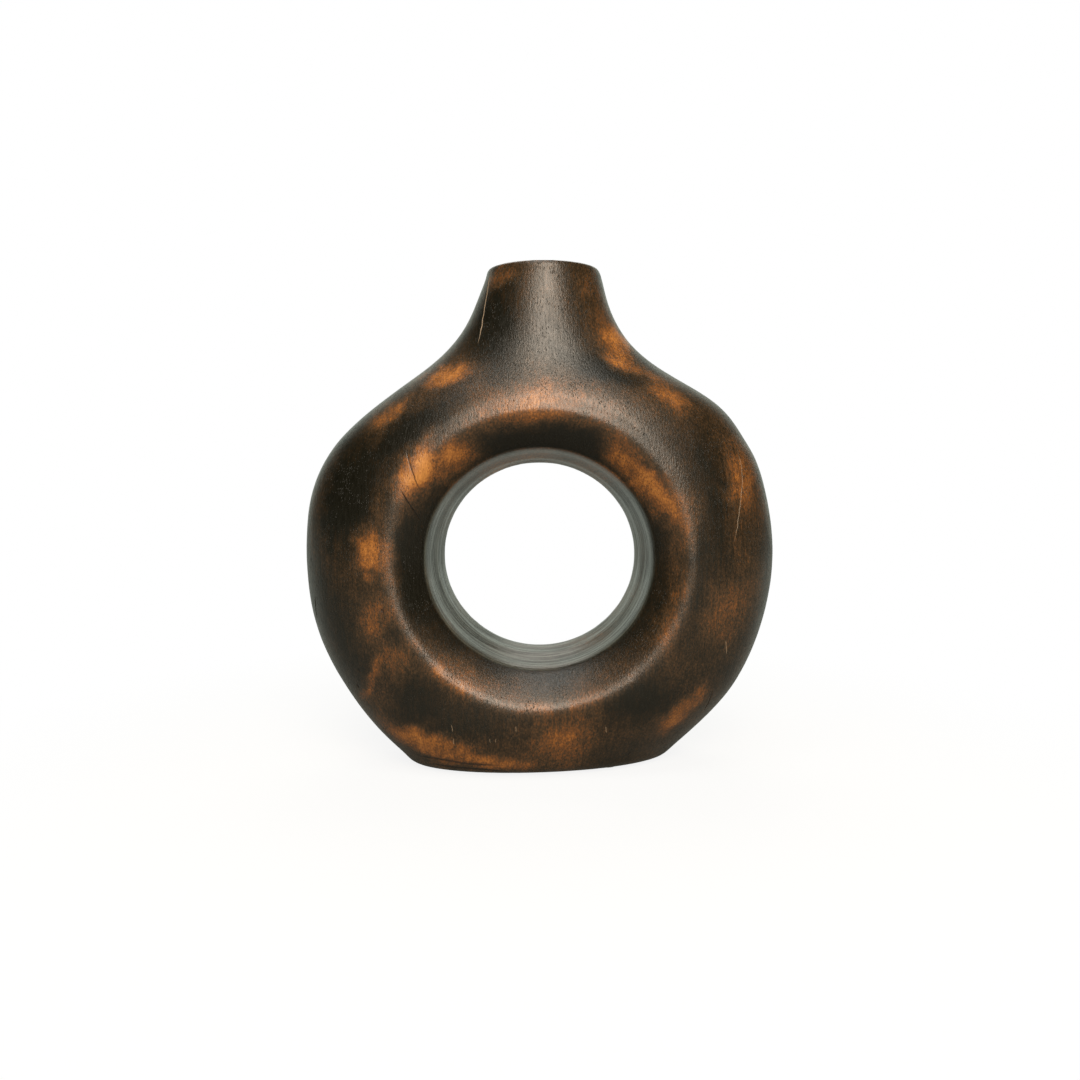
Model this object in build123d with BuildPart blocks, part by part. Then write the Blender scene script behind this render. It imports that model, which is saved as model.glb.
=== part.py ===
# A round wooden vase with a hole through its middle and a short neck.
#
# It stands on the XY plane with its broad faces turned to -Y and +Y, and +Z points up. The
# origin is in the middle of what it stands on. The body is carved from two thick planks, glued
# face to face on the XZ plane. A glass tube for the water hangs in the neck and lifts out.

from build123d import *
import math
import os

# Carved body, both planks together. The depth is what it would be without the hole, which
# takes away the deepest middle.
body_height = 283.0
body_width = 271.6
body_depth = 106.0
base_round = 10.0
rim_round = 2.0

# Hole through the middle. It is narrowest where the planks meet and widens to a lip. From
# there a funnel opens to a soft crest on the face.
hole_height = 120.0
hole_width = 111.4
hole_rise = 107.6
lip_setback = 21.0
lip_flare = 8.4
funnel_flare = 17.5
funnel_depth = 15.0
crest_round = 8.0

# Glass tube and the well that it hangs in
tube_width = 32.0
tube_wall = 1.6
tube_lip_reach = 3.0
tube_lip_height = 2.5
tube_lip_round = 0.8
tube_sunk = 2.0
tube_gap = 0.3
tube_end_gap = 2.0
well_bridge = 14.0
mouth_chamfer = 1.0

# Dowels that kept the planks in line while the glue set
dowel_width = 10.0
dowel_length = 40.0
dowel_chamfer = 1.0
dowel_gap = 0.05
dowel_end_gap = 1.0
dowel_count = 6

# Felt pads under the base
pad_width = 14.0
pad_thickness = 1.5
pad_round = 0.4

# One overrun for all cuts that run past a face
overrun = 5.0

# The outside, level by level from the base up. The first three shares are of the body's
# height, of its half width for how far the level leans to +X, and of its half width again for
# how far the level reaches. The fourth is of its half depth. The last number is the power
# that makes a section round, at 2, or fuller. A section runs through this many points on each
# side, the first one this share of a step on from its end.
level_shares = [
    (0.000, 0.003, 0.545, 0.740, 2.00),
    (0.056, 0.006, 0.672, 0.820, 2.25),
    (0.112, 0.001, 0.776, 0.885, 2.60),
    (0.193, -0.002, 0.886, 0.927, 2.90),
    (0.299, -0.003, 0.970, 0.977, 3.00),
    (0.424, 0.000, 1.000, 1.000, 3.00),
    (0.545, -0.002, 0.972, 0.985, 3.00),
    (0.633, 0.008, 0.900, 0.952, 2.85),
    (0.700, 0.026, 0.790, 0.920, 2.60),
    (0.749, 0.034, 0.668, 0.848, 2.35),
    (0.794, 0.019, 0.522, 0.757, 2.20),
    (0.844, 0.010, 0.393, 0.690, 2.05),
    (0.900, 0.010, 0.309, 0.650, 2.00),
    (0.949, 0.013, 0.267, 0.625, 2.00),
    (1.000, 0.015, 0.232, 0.605, 2.00),
]
section_steps = 12
first_step_share = 0.5

# The wall of the hole, by shares of the way to the lip. It widens by this power of the way.
wall_shares = [0.0, 0.25, 0.5, 0.75, 1.0]
wall_power = 1.15

# The funnel, by shares of the way from the lip to the crest. It leaves the lip this many times
# as steeply as a straight cone would. Past the crest it runs straight on, by this share more.
funnel_shares = [0.2, 0.4, 0.6, 0.8, 1.0]
steepness_share = 1.3
runout_share = 0.8

# Places of the pads, as shares of the base's half width and half depth
pad_across_share = 0.52
pad_along_share = 0.34

# Sizes that follow from the ones above
half_width = body_width / 2
half_depth = body_depth / 2
rim_height = pad_thickness + body_height
hole_middle = pad_thickness + hole_height
lip_depth = half_depth - lip_setback
neck_middle = half_width * level_shares[-1][1]

tube_radius = tube_width / 2
tube_inner_radius = tube_radius - tube_wall
tube_lip_radius = tube_radius + tube_lip_reach
tube_top = rim_height - tube_sunk
seat_height = tube_top - tube_lip_height
seat_radius = tube_lip_radius + tube_gap
well_radius = tube_radius + tube_gap
well_floor = hole_middle + hole_rise / 2 + well_bridge
tube_bottom = well_floor + tube_end_gap
tube_bend = tube_bottom + tube_radius

dowel_radius = dowel_width / 2
socket_radius = dowel_radius + dowel_gap
socket_depth = dowel_length / 2 + dowel_end_gap
dowel_ring = (hole_width / 2 + half_width) / 2

# Outline of the hole by depth: how far it flares there, and how far out that is
hole_rings = [(lip_flare * way**wall_power, lip_depth * way) for way in wall_shares]
for way_share in funnel_shares:
    out_share = way_share * (steepness_share - (steepness_share - 1) * way_share)
    hole_rings.append((lip_flare + funnel_flare * way_share, lip_depth + funnel_depth * out_share))
runout_depth = funnel_depth * (2 - steepness_share) * runout_share
hole_rings.append(
    (lip_flare + funnel_flare * (1 + runout_share), lip_depth + funnel_depth + runout_depth)
)

neck_plane = Plane(origin=(neck_middle, 0, 0), x_dir=(1, 0, 0), z_dir=(0, -1, 0))
neck_axis = Axis((neck_middle, 0, 0), (0, 0, 1))

# Carved outside of both planks: a loft through one closed outline at each level, with the
# edges at the rim and the base rounded over
with BuildPart() as carved_outside:
    for height_share, lean_share, width_share, depth_share, fullness in level_shares:
        middle = half_width * lean_share
        reach = half_width * width_share
        swell = half_depth * depth_share
        outline_points = []
        for step in range(2 * section_steps):
            across = math.cos(math.pi * (step + first_step_share) / section_steps)
            along = math.sqrt(1 - abs(across) ** fullness)
            if step >= section_steps:
                along = -along
            outline_points.append((middle + reach * across, swell * along))
        with BuildSketch(Plane.XY.offset(pad_thickness + body_height * height_share)):
            with BuildLine():
                Spline(outline_points, periodic=True)
            make_face()
    loft()
    fillet(carved_outside.edges().group_by(Axis.Z)[-1], rim_round)
    fillet(carved_outside.edges().group_by(Axis.Z)[0], base_round)

# Front plank: the front of the carved outside, with its share of the hole, the well in the
# neck and a socket for one end of each dowel
with BuildPart() as front_half:
    add(carved_outside.part)
    split(bisect_by=Plane.XZ, keep=Keep.TOP)

    # Wall of the hole, from the glue plane to the lip, and the funnel from there out past the
    # face, in one loft
    for ring_flare, ring_depth in hole_rings:
        with BuildSketch(Plane.XZ.offset(ring_depth)):
            with Locations((0, hole_middle)):
                Ellipse(hole_width / 2 + ring_flare, hole_rise / 2 + ring_flare)
    loft(mode=Mode.SUBTRACT)

    # Clearing in front of the funnel's last outline
    last_flare, last_depth = hole_rings[-1]
    with BuildSketch(Plane.XZ.offset(last_depth)):
        with Locations((0, hole_middle)):
            Ellipse(hole_width / 2 + last_flare, hole_rise / 2 + last_flare)
    extrude(amount=lip_setback, mode=Mode.SUBTRACT)

    # Crest rounded over. Of the edges that close on themselves it lies furthest forward.
    ring_edges = front_half.edges().filter_by(lambda edge: edge.is_closed).sort_by(Axis.Y)
    fillet(ring_edges[0], crest_round)

    # Well for the glass tube: a seat for its lip, a straight bore and a flat floor
    with BuildSketch(neck_plane):
        with BuildLine():
            Polyline(
                (0, well_floor),
                (well_radius, well_floor),
                (well_radius, seat_height),
                (seat_radius, seat_height),
                (seat_radius, rim_height - mouth_chamfer),
                (seat_radius + mouth_chamfer + overrun, rim_height + overrun),
                (0, rim_height + overrun),
                close=True,
            )
        make_face()
    revolve(axis=neck_axis, mode=Mode.SUBTRACT)

    # Dowel sockets
    with BuildSketch(Plane.XZ):
        with Locations((0, hole_middle)):
            with PolarLocations(dowel_ring, dowel_count):
                Circle(socket_radius)
    extrude(amount=socket_depth, mode=Mode.SUBTRACT)

# Back plank: the front one mirrored on the glue plane
with BuildPart() as back_half:
    mirror(front_half.part, about=Plane.XZ)

# Dowels: straight pins with chamfered ends, half in each plank
dowels = []
for number in range(dowel_count):
    turn = 2 * math.pi * number / dowel_count
    dowel_place = (dowel_ring * math.cos(turn), hole_middle + dowel_ring * math.sin(turn))
    with BuildPart() as dowel:
        with BuildSketch(Plane.XZ):
            with Locations(dowel_place):
                Circle(dowel_radius)
        extrude(amount=dowel_length / 2, both=True)
        chamfer(dowel.edges().filter_by(GeomType.CIRCLE), dowel_chamfer)
    dowel.part.label = f"dowel_{number + 1}"
    dowels.append(dowel.part)

# Glass tube: a round-bottomed tube whose flat lip rests on the seat in the neck
with BuildPart() as glass_tube:
    with BuildSketch(neck_plane):
        with BuildLine():
            outer_end = CenterArc((0, tube_bend), tube_radius, -90, 90)
            Polyline(
                outer_end @ 1,
                (tube_radius, seat_height),
                (tube_lip_radius, seat_height),
                (tube_lip_radius, tube_top),
                (tube_inner_radius, tube_top),
                (tube_inner_radius, tube_bend),
            )
            inner_end = CenterArc((0, tube_bend), tube_inner_radius, 0, -90)
            Line(inner_end @ 1, outer_end @ 0)
        make_face()
    revolve(axis=neck_axis)
    fillet(glass_tube.edges().group_by(Axis.Z)[-1], tube_lip_round)

# Felt pads: one near each corner of the base, between it and what the vase stands on
base_half_width = half_width * level_shares[0][2]
base_half_depth = half_depth * level_shares[0][3]
pad_across = base_half_width * pad_across_share
pad_along = base_half_depth * pad_along_share
pad_places = {
    "pad_front_left": (-pad_across, -pad_along),
    "pad_front_right": (pad_across, -pad_along),
    "pad_back_left": (-pad_across, pad_along),
    "pad_back_right": (pad_across, pad_along),
}
pads = []
for pad_name, pad_place in pad_places.items():
    with BuildPart() as pad:
        with BuildSketch():
            with Locations(pad_place):
                Circle(pad_width / 2)
        extrude(amount=pad_thickness)
        fillet(pad.edges().group_by(Axis.Z)[0], pad_round)
    pad.part.label = pad_name
    pads.append(pad.part)

front_half.part.label = "front_half"
back_half.part.label = "back_half"
glass_tube.part.label = "glass_tube"

os.makedirs("parts", exist_ok=True)
for piece in [front_half.part, back_half.part, glass_tube.part, *dowels, *pads]:
    export_step(piece, f"parts/{piece.label}.step")
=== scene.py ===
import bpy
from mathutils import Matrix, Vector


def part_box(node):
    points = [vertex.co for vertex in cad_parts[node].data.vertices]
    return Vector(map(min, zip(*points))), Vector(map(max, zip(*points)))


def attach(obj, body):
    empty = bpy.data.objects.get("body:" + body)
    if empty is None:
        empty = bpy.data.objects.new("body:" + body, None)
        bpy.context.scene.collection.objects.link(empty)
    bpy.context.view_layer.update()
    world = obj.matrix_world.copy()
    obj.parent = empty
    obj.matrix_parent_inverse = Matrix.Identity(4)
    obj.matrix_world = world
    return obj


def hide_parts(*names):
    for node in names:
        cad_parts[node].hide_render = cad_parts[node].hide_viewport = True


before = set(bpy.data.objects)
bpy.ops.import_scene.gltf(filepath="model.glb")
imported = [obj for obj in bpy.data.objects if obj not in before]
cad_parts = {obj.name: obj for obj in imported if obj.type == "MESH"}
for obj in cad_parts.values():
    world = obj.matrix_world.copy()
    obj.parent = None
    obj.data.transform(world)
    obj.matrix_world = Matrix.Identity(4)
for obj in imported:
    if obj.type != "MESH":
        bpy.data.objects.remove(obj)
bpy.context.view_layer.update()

import math

import bmesh
import bpy
import numpy as np
from mathutils import Vector, kdtree, noise
from mathutils.bvhtree import BVHTree

# A carved wooden vase with a hole through it. Lengths in the dictionaries are in mm, where no
# note says metres.
mm = 0.001
scene = bpy.context.scene
scene.view_settings.view_transform = "Standard"


# Camera, straight before the hole and a little below the rim
cameraSettings = dict(aside=0.3, distance=560.0, height=173.5, pitchDown=4.451, lens=31.96, sensor=36.0)


def makeCamera(plan):
    data = bpy.data.cameras.new("camera")
    data.lens = plan["lens"]
    data.sensor_width = plan["sensor"]
    cam = bpy.data.objects.new("camera", data)
    cam.location = (plan["aside"] * mm, -plan["distance"] * mm, plan["height"] * mm)
    cam.rotation_euler = (math.radians(90 - plan["pitchDown"]), 0, 0)
    scene.collection.objects.link(cam)
    scene.camera = cam


makeCamera(cameraSettings)
print("camera is up")


# Node helpers
def addNode(tree, kind, **values):
    node = tree.nodes.new(kind)
    for name, value in values.items():
        setattr(node, name, value)
    return node


def plug(tree, socket, value):
    if isinstance(value, bpy.types.NodeSocket):
        tree.links.new(value, socket)
    elif value is not None:
        socket.default_value = value


def plugColour(tree, socket, value):
    plug(tree, socket, (*value, 1.0) if isinstance(value, tuple) else value)


def calc(tree, operation, a, b=None, c=None, clamp=False):
    node = addNode(tree, "ShaderNodeMath", operation=operation, use_clamp=clamp)
    for place, value in enumerate((a, b, c)):
        plug(tree, node.inputs[place], value)
    return node.outputs[0]


def swung(tree, value, middle, share, base):
    # the base, raised or lowered by this share of how far the value is from its middle
    return calc(tree, "MULTIPLY_ADD", calc(tree, "SUBTRACT", value, middle), share, base)


def remap(tree, value, fromMin, fromMax, toMin=0.0, toMax=1.0, smooth=True):
    node = addNode(tree, "ShaderNodeMapRange", interpolation_type="SMOOTHSTEP" if smooth else "LINEAR")
    plug(tree, node.inputs["Value"], value)
    plug(tree, node.inputs["From Min"], fromMin)
    plug(tree, node.inputs["From Max"], fromMax)
    plug(tree, node.inputs["To Min"], toMin)
    plug(tree, node.inputs["To Max"], toMax)
    return node.outputs["Result"]


def mixColour(tree, factor, a, b, blend="MIX"):
    # this node's colours go in at its sockets 6 and 7 and come out at 2
    node = addNode(tree, "ShaderNodeMix", data_type="RGBA", blend_type=blend)
    plug(tree, node.inputs[0], factor)
    plugColour(tree, node.inputs[6], a)
    plugColour(tree, node.inputs[7], b)
    return node.outputs[2]


def vectorCalc(tree, operation, a, b=None):
    node = addNode(tree, "ShaderNodeVectorMath", operation=operation)
    plug(tree, node.inputs[0], a)
    plug(tree, node.inputs[1], b)
    return node.outputs[0]


def lengthOf(tree, vector):
    node = addNode(tree, "ShaderNodeVectorMath", operation="LENGTH")
    plug(tree, node.inputs[0], vector)
    return node.outputs["Value"]


def upGrain(tree, point, share):
    # what is made from this point comes out longer in Z, the smaller the share
    return vectorCalc(tree, "MULTIPLY", point, (1.0, 1.0, share))


def splitPoint(tree, point):
    node = addNode(tree, "ShaderNodeSeparateXYZ")
    plug(tree, node.inputs[0], point)
    return node.outputs


def noiseOf(tree, vector, scale, detail=3.0, roughness=0.55, distortion=0.0):
    node = addNode(tree, "ShaderNodeTexNoise")
    plug(tree, node.inputs["Vector"], vector)
    plug(tree, node.inputs["Scale"], scale)
    node.inputs["Detail"].default_value = detail
    node.inputs["Roughness"].default_value = roughness
    node.inputs["Distortion"].default_value = distortion
    return node.outputs["Fac"]


def ramp(tree, value, stops):
    node = addNode(tree, "ShaderNodeValToRGB")
    bar = node.color_ramp
    while len(bar.elements) < len(stops):
        bar.elements.new(0.5)
    for element, (place, colour) in zip(bar.elements, stops):
        element.position = place
        element.color = (*colour, 1.0)
    plug(tree, node.inputs["Fac"], value)
    return node.outputs["Color"]


def bumpFrom(tree, bsdf, height, reach):
    bump = addNode(tree, "ShaderNodeBump")
    bump.inputs["Distance"].default_value = reach * mm
    plug(tree, bump.inputs["Height"], height)
    plug(tree, bsdf.inputs["Normal"], bump.outputs["Normal"])


def newGroup(name, inputs, outputs):
    group = bpy.data.node_groups.new(name, "ShaderNodeTree")
    for socketName, kind, value in inputs:
        socket = group.interface.new_socket(socketName, in_out="INPUT", socket_type=kind)
        if value is not None:
            socket.default_value = value
    for socketName, kind in outputs:
        group.interface.new_socket(socketName, in_out="OUTPUT", socket_type=kind)
    return group, group.nodes.new("NodeGroupInput"), group.nodes.new("NodeGroupOutput")


def newMaterial(name):
    material = bpy.data.materials.new(name)
    material.use_nodes = True
    return material, material.node_tree, material.node_tree.nodes["Principled BSDF"]


def objectPoint(tree):
    return addNode(tree, "ShaderNodeTexCoord").outputs["Object"]


def attributeOf(tree, name):
    return addNode(tree, "ShaderNodeAttribute", attribute_name=name).outputs["Fac"]


# Wood grain that runs up the plank: growth rings, fine fibres and short open pores. The stretch
# values draw each of them out in Z, and every scale here and below counts per metre.
woodGrain = dict(
    ringStretch=0.05, waverStretch=0.16, fibreStretch=0.06, poreStretch=0.22,
    # a ring darkens and ends by shares of its gap, and shows only in places
    ringRise=(0.15, 0.9), ringFall=(0.9, 1.0), waverScale=34.0, shownScale=60.0, shown=(0.35, 0.65),
    fibreRange=(0.30, 0.70),
    # the pores are wider in places
    poreCrowding=0.55, spreadScale=90.0, spread=(0.35, 0.7), poreReach=(0.12, 0.34), poreEdge=0.09,
)


def makeGrainGroup(plan):
    group, given, out = newGroup(
        "woodGrain",
        [("Point", "NodeSocketVector", None), ("Pith", "NodeSocketVector", (0.0, 0.0, 0.0)),
         ("Ring Gap", "NodeSocketFloat", 0.004), ("Ring Waver", "NodeSocketFloat", 0.006),
         ("Fibre Width", "NodeSocketFloat", 0.0009), ("Pore Width", "NodeSocketFloat", 0.0005)],
        [("Rings", "NodeSocketFloat"), ("Fibres", "NodeSocketFloat"), ("Pores", "NodeSocketFloat")])
    point = given.outputs["Point"]

    drawn = upGrain(group, point, plan["waverStretch"])
    waver = calc(group, "SUBTRACT", noiseOf(group, drawn, plan["waverScale"]), 0.5)
    fromPith = vectorCalc(group, "SUBTRACT", point, given.outputs["Pith"])
    reach = lengthOf(group, upGrain(group, fromPith, plan["ringStretch"]))
    wavered = calc(group, "MULTIPLY_ADD", waver, given.outputs["Ring Waver"], reach)
    turn = calc(group, "FRACT", calc(group, "DIVIDE", wavered, given.outputs["Ring Gap"]))
    rise = remap(group, turn, *plan["ringRise"])
    fall = remap(group, turn, *plan["ringFall"], 1.0, 0.0)
    shown = remap(group, noiseOf(group, drawn, plan["shownScale"], detail=1.0), *plan["shown"])
    rings = calc(group, "MULTIPLY", calc(group, "MULTIPLY", rise, fall), shown)
    plug(group, out.inputs["Rings"], rings)

    fibreScale = calc(group, "DIVIDE", 1.0, given.outputs["Fibre Width"])
    fibres = noiseOf(group, upGrain(group, point, plan["fibreStretch"]), fibreScale, detail=2.0)
    plug(group, out.inputs["Fibres"], remap(group, fibres, *plan["fibreRange"], smooth=False))

    poreScale = calc(group, "DIVIDE", 1.0, given.outputs["Pore Width"])
    pore = addNode(group, "ShaderNodeTexVoronoi", feature="F1")
    plug(group, pore.inputs["Vector"], upGrain(group, point, plan["poreStretch"]))
    plug(group, pore.inputs["Scale"], calc(group, "MULTIPLY", poreScale, plan["poreCrowding"]))
    pore.inputs["Randomness"].default_value = 1.0
    spread = noiseOf(group, point, plan["spreadScale"], detail=2.0)
    poreReach = remap(group, spread, *plan["spread"], *plan["poreReach"])
    dip = calc(group, "SUBTRACT", poreReach, pore.outputs["Distance"])
    plug(group, out.inputs["Pores"], remap(group, dip, 0.0, plan["poreEdge"]))
    return group


def grainOf(tree, point, pith, plan):
    node = addNode(tree, "ShaderNodeGroup", node_tree=grainGroup)
    plug(tree, node.inputs["Point"], point)
    plug(tree, node.inputs["Pith"], pith)
    node.inputs["Ring Gap"].default_value = plan["ringGap"] * mm
    node.inputs["Ring Waver"].default_value = plan["ringWaver"] * mm
    node.inputs["Fibre Width"].default_value = plan["fibreWidth"] * mm
    node.inputs["Pore Width"].default_value = plan["poreWidth"] * mm
    return node.outputs


grainGroup = makeGrainGroup(woodGrain)


# Hole through the body, with the sizes that its solids have. It is narrowest at the glue and
# widens to a lip, from where a funnel opens to the crest. The last four values say where the
# finish of its wall, with its painted reflection, ends.
hole = dict(
    middle=121.5, width=111.4, rise=107.6, lipDepth=32.0, lipFlare=8.4, wallPower=1.15, crestFlare=25.9,
    wallReach=1.05, wallFade=0.025, pastLip=0.4, lipFade=0.9,
)


# Stained wood: the burnt stain lies thick or is rubbed back to the warm wood below. How thick
# comes with the mesh, in its stainAndPaintedLight attribute, which also holds some painted shade
# and painted highlight, and is broken up here.
stainedWoodWithPaintedLight = dict(
    boardShift=(0.41, 0.0, 0.83), pith=(0.43, 0.11, 0.0),  # in metres
    ringGap=3.7, ringWaver=16.0, fibreWidth=0.95, poreWidth=0.42,
    # how much of the stain's depth each of these adds or takes away
    cloudDepth=0.26, wispDepth=0.32, speckDepth=0.72, ringDepth=0.06, fibreDepth=0.20, poreDepth=0.26,
    wallDepth=0.42,
    cloudScale=42.0, wispScale=230.0, wispStretch=0.45, speckSize=0.95, speckStretch=0.6, ringMiddle=0.4,
    speckFade=(0.78, 0.98), speckInDark=0.45,  # in thick stain only this share of the specks is left
    # by depth, from bare wood to thick stain
    colours=[
        (0.00, (0.46, 0.190, 0.042)),
        (0.22, (0.30, 0.112, 0.024)),
        (0.42, (0.133, 0.052, 0.015)),
        (0.62, (0.051, 0.028, 0.012)),
        (0.80, (0.021, 0.0125, 0.0050)),
        (1.00, (0.0055, 0.0046, 0.0018)),
    ],
    fibreShade=0.40, crackColour=(0.004, 0.003, 0.002), paleColour=(0.50, 0.36, 0.24),
    glueLine=(0.08, 0.30), glueShade=0.7,
    # inside the well the wood is bare: this near to its middle, and above its floor
    wellMiddle=2.04, wellRadius=19.9, wellFade=0.7, wellRagged=1.0, wellRaggedScale=600.0, wellFloor=186,
    wellStain=-0.12, wellRub=0.6,
    # marks that run round the wall of the hole, with their wax coat and a grey painted reflection
    lathedAround=1.3, lathedAcross=640.0, paintedReflectionColour=(0.100, 0.105, 0.084), paintedReflection=0.62,
    paintedReflectionRange=(-0.12, 0.16), wallCoat=0.85, coatRange=(-0.16, 0.16), coatRoughness=0.36,
    roughness=0.36, roughnessSpread=0.14, wallRoughness=0.33, poreRoughness=0.25, crackRoughness=0.3,
    specular=0.5,
    bumpReach=0.07, fibreHeight=0.35, gritSize=0.80, gritStretch=0.55, gritHeight=1.9, wallGrit=0.25,
    lathedHeight=2.6,
)


def depthOfStainAndPaintedLight(tree, point, boardPoint, grain, plan):
    stainAndPaintedLight = attributeOf(tree, "stainAndPaintedLight")
    cloud = noiseOf(tree, point, plan["cloudScale"], detail=5.0, roughness=0.62, distortion=0.6)
    depth = swung(tree, cloud, 0.5, plan["cloudDepth"], stainAndPaintedLight)
    wispPoint = upGrain(tree, boardPoint, plan["wispStretch"])
    wisp = noiseOf(tree, wispPoint, plan["wispScale"], detail=4.0, roughness=0.65)
    depth = swung(tree, wisp, 0.5, plan["wispDepth"], depth)
    speckPoint = upGrain(tree, boardPoint, plan["speckStretch"])
    speck = noiseOf(tree, speckPoint, 1 / (plan["speckSize"] * mm), detail=2.0, roughness=0.6)
    inDark = plan["speckDepth"] * plan["speckInDark"]
    speckDepth = remap(tree, stainAndPaintedLight, *plan["speckFade"], plan["speckDepth"], inDark)
    depth = swung(tree, speck, 0.5, speckDepth, depth)
    depth = swung(tree, grain["Rings"], plan["ringMiddle"], plan["ringDepth"], depth)
    return swung(tree, grain["Fibres"], 0.5, plan["fibreDepth"], depth)


def lathedMarks(tree, point, plan):
    fromMiddle = vectorCalc(tree, "SUBTRACT", point, (0.0, 0.0, hole["middle"] * mm))
    around = vectorCalc(tree, "NORMALIZE", vectorCalc(tree, "MULTIPLY", fromMiddle, (1.0, 0.0, 1.0)))
    slow = vectorCalc(tree, "MULTIPLY", around, (plan["lathedAround"], 0.0, plan["lathedAround"]))
    deep = vectorCalc(tree, "MULTIPLY", point, (0.0, plan["lathedAcross"], 0.0))
    marks = noiseOf(tree, vectorCalc(tree, "ADD", slow, deep), 1.0, detail=4.0, roughness=0.75)
    return calc(tree, "SUBTRACT", marks, 0.5)


def insideWell(tree, point, z, plan):
    fromMiddle = vectorCalc(tree, "SUBTRACT", point, (plan["wellMiddle"] * mm, 0.0, 0.0))
    reach = lengthOf(tree, upGrain(tree, fromMiddle, 0.0))
    wear = noiseOf(tree, point, plan["wellRaggedScale"], detail=2.0)
    ragged = calc(tree, "MULTIPLY_ADD", wear, plan["wellRagged"] * mm, reach)
    edge = plan["wellRadius"] * mm
    inside = remap(tree, ragged, edge, edge + plan["wellFade"] * mm, 1.0, 0.0)
    above = calc(tree, "GREATER_THAN", z, plan["wellFloor"] * mm)
    return calc(tree, "MULTIPLY", inside, above)


def makeStainedWoodWithPaintedLight(plan):
    material, tree, bsdf = newMaterial("stainedWoodWithPaintedLight")
    point = objectPoint(tree)
    parts = splitPoint(tree, point)
    # the planks come from two boards, so the grain doesn't run on across the glue
    behind = calc(tree, "GREATER_THAN", parts["Y"], 0.0)
    shift = vectorCalc(tree, "MULTIPLY", behind, plan["boardShift"])
    boardPoint = vectorCalc(tree, "ADD", point, shift)
    grain = grainOf(tree, boardPoint, vectorCalc(tree, "ADD", shift, plan["pith"]), plan)
    fibres = grain["Fibres"]

    wall = attributeOf(tree, "wall")
    lathed = lathedMarks(tree, point, plan)
    wallMarks = calc(tree, "MULTIPLY", lathed, wall)
    pores = calc(tree, "MULTIPLY", grain["Pores"], calc(tree, "SUBTRACT", 1.0, wall))
    depth = depthOfStainAndPaintedLight(tree, point, boardPoint, grain, plan)
    depth = calc(tree, "MULTIPLY_ADD", wallMarks, plan["wallDepth"], depth)
    depth = calc(tree, "MULTIPLY_ADD", pores, plan["poreDepth"], depth, clamp=True)
    bare = insideWell(tree, point, parts["Z"], plan)
    rubbed = calc(tree, "MULTIPLY_ADD", depth, -plan["wellRub"], plan["wellStain"])
    depth = calc(tree, "MULTIPLY_ADD", bare, rubbed, depth)

    colour = ramp(tree, depth, plan["colours"])
    shade = swung(tree, fibres, 0.5, plan["fibreShade"], 1.0)
    colour = mixColour(tree, 1.0, colour, shade, blend="MULTIPLY")
    # painted reflection: grey mixed into the colour of the hole's wall, stronger along its marks
    paintedReflection = remap(tree, lathed, *plan["paintedReflectionRange"], 0.0, plan["paintedReflection"])
    colour = mixColour(tree, calc(tree, "MULTIPLY", wall, paintedReflection), colour, plan["paintedReflectionColour"])
    glueStart, glueEnd = plan["glueLine"]
    offGlue = calc(tree, "ABSOLUTE", parts["Y"])
    glue = remap(tree, offGlue, glueStart * mm, glueEnd * mm, plan["glueShade"], 0.0)
    dark = calc(tree, "MAXIMUM", attributeOf(tree, "crack"), glue, clamp=True)
    colour = mixColour(tree, dark, colour, plan["crackColour"])
    colour = mixColour(tree, attributeOf(tree, "pale"), colour, plan["paleColour"])
    plug(tree, bsdf.inputs["Base Color"], colour)

    rough = swung(tree, fibres, 0.5, plan["roughnessSpread"], plan["roughness"])
    rough = calc(tree, "MULTIPLY_ADD", pores, plan["poreRoughness"], rough)
    rough = calc(tree, "MULTIPLY_ADD", wall, plan["wallRoughness"] - plan["roughness"], rough)
    rough = calc(tree, "MULTIPLY_ADD", dark, plan["crackRoughness"], rough, clamp=True)
    plug(tree, bsdf.inputs["Roughness"], rough)
    bsdf.inputs["Specular IOR Level"].default_value = plan["specular"]
    coat = remap(tree, lathed, *plan["coatRange"], 0.0, plan["wallCoat"])
    plug(tree, bsdf.inputs["Coat Weight"], calc(tree, "MULTIPLY", wall, coat))
    bsdf.inputs["Coat Roughness"].default_value = plan["coatRoughness"]

    height = calc(tree, "SUBTRACT", calc(tree, "MULTIPLY", fibres, plan["fibreHeight"]), pores)
    gritPoint = upGrain(tree, point, plan["gritStretch"])
    grit = noiseOf(tree, gritPoint, 1 / (plan["gritSize"] * mm), detail=2.0, roughness=0.6)
    grit = calc(tree, "MULTIPLY", grit, calc(tree, "MULTIPLY_ADD", wall, plan["wallGrit"] - 1, 1.0))
    height = calc(tree, "MULTIPLY_ADD", grit, plan["gritHeight"], height)
    height = calc(tree, "MULTIPLY_ADD", wallMarks, plan["lathedHeight"], height)
    bumpFrom(tree, bsdf, height, plan["bumpReach"])
    return material


woodMaterial = makeStainedWoodWithPaintedLight(stainedWoodWithPaintedLight)


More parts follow.
